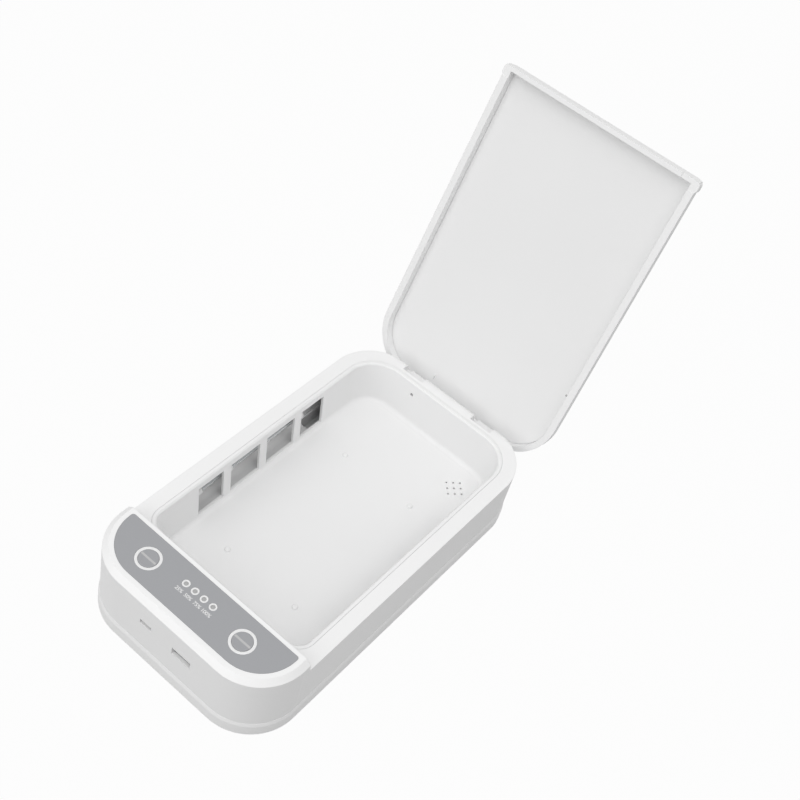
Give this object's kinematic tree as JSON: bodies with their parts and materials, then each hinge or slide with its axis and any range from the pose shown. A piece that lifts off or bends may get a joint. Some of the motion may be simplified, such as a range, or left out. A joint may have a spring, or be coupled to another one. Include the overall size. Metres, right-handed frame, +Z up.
{
  "type": "uv sanitizer box for phones",
  "caption": "White bathtub-shaped box with lamps behind side windows, a hinged lid, a raised console with round buttons, and charging ports in its front wall.",
  "frame": {"origin": "on the table under the middle of the box, the lid not counted; the mount underside is 0.6 mm above it", "axes": "+X to the box's right seen from the console, +Y from the console towards the hinge, +Z up"},
  "size_m": [0.1298, 0.3108, 0.2126],
  "materials": {
    "white_casing": "satin moulded plastic",
    "white_liner": "smooth moulded plastic",
    "grey_panel": "flat grey printed panel",
    "grey_button": "grey plastic, bare",
    "light_diffuser": "translucent white plastic",
    "bright_sheet": "bright bent sheet",
    "lamp_glass": "clear tube",
    "soft_cap": "white silicone",
    "clip_plastic": "white plastic",
    "port_metal": "folded nickel plated sheet",
    "port_insulator": "pale moulded plastic",
    "circuit_board": "solder resist over glass fibre",
    "light_chip": "cast resin",
    "ferrite": "pressed ferrite with a taped winding",
    "felt": "pressed felt",
    "warming_plate": "thin plate",
    "lead_jacket": "insulated wire",
    "screw_steel": "zinc plated",
    "pin_steel": "ground",
    "foot_rubber": "pale grey rubber"
  },
  "bodies": {
    "box": {"bottom_shell": "white_casing", "main_housing": "white_casing", "chamber_tray": "white_liner", "control_panel": "grey_panel", "button_board": "circuit_board", "status_leds": "light_chip", "main_board": "circuit_board", "usb_a_port": "port_metal", "usb_a_tongue": "port_insulator", "micro_usb_port": "port_metal", "micro_usb_tongue": "port_insulator", "lamp_driver_board": "circuit_board", "lamp_transformer": "ferrite", "aroma_pad": "felt", "aroma_heater": "warming_plate", "lid_sensor": "light_chip", "aroma_lead": "lead_jacket", "sensor_lead": "lead_jacket", "button_ribbon": "lead_jacket", "case_screws": "screw_steel", "board_screws": "screw_steel", "uv_light_ring": "light_diffuser", "uv_switch": "port_insulator", "aroma_light_ring": "light_diffuser", "aroma_switch": "port_insulator", "charge_light_1": "light_diffuser", "charge_light_2": "light_diffuser", "charge_light_3": "light_diffuser", "charge_light_4": "light_diffuser", "foot_front_left": "foot_rubber", "foot_front_right": "foot_rubber", "foot_rear_left": "foot_rubber", "foot_rear_right": "foot_rubber", "reflector_left": "bright_sheet", "uv_lamp_left": "lamp_glass", "lamp_front_cap_left": "soft_cap", "lamp_rear_cap_left": "soft_cap", "lamp_clip_left": "clip_plastic", "lamp_lead_left": "lead_jacket", "hinge_pin_left": "pin_steel", "reflector_right": "bright_sheet", "uv_lamp_right": "lamp_glass", "lamp_front_cap_right": "soft_cap", "lamp_rear_cap_right": "soft_cap", "lamp_clip_right": "clip_plastic", "lamp_lead_right": "lead_jacket", "hinge_pin_right": "pin_steel"},
    "lid": {"lid_shell": "white_casing", "lid_liner": "white_liner"},
    "uv_key": {"uv_button": "grey_button", "uv_switch_plunger": "port_insulator"},
    "aroma_key": {"aroma_button": "grey_button", "aroma_switch_plunger": "port_insulator"}
  },
  "joints": [
    {"name": "lid_hinge", "type": "hinge", "parent": "box", "child": "lid", "pos_m": [0, 0.1118, 0.0349], "axis": [1, 0, 0], "range_deg": [0, 111]},
    {"name": "uv_press", "type": "slide", "parent": "box", "child": "uv_key", "axis": [0, 0, -1], "range_m": [0, 0.0005], "stiffness_N_per_m": 1500},
    {"name": "aroma_press", "type": "slide", "parent": "box", "child": "aroma_key", "axis": [0, 0, -1], "range_m": [0, 0.0005], "stiffness_N_per_m": 1500}
  ]
}
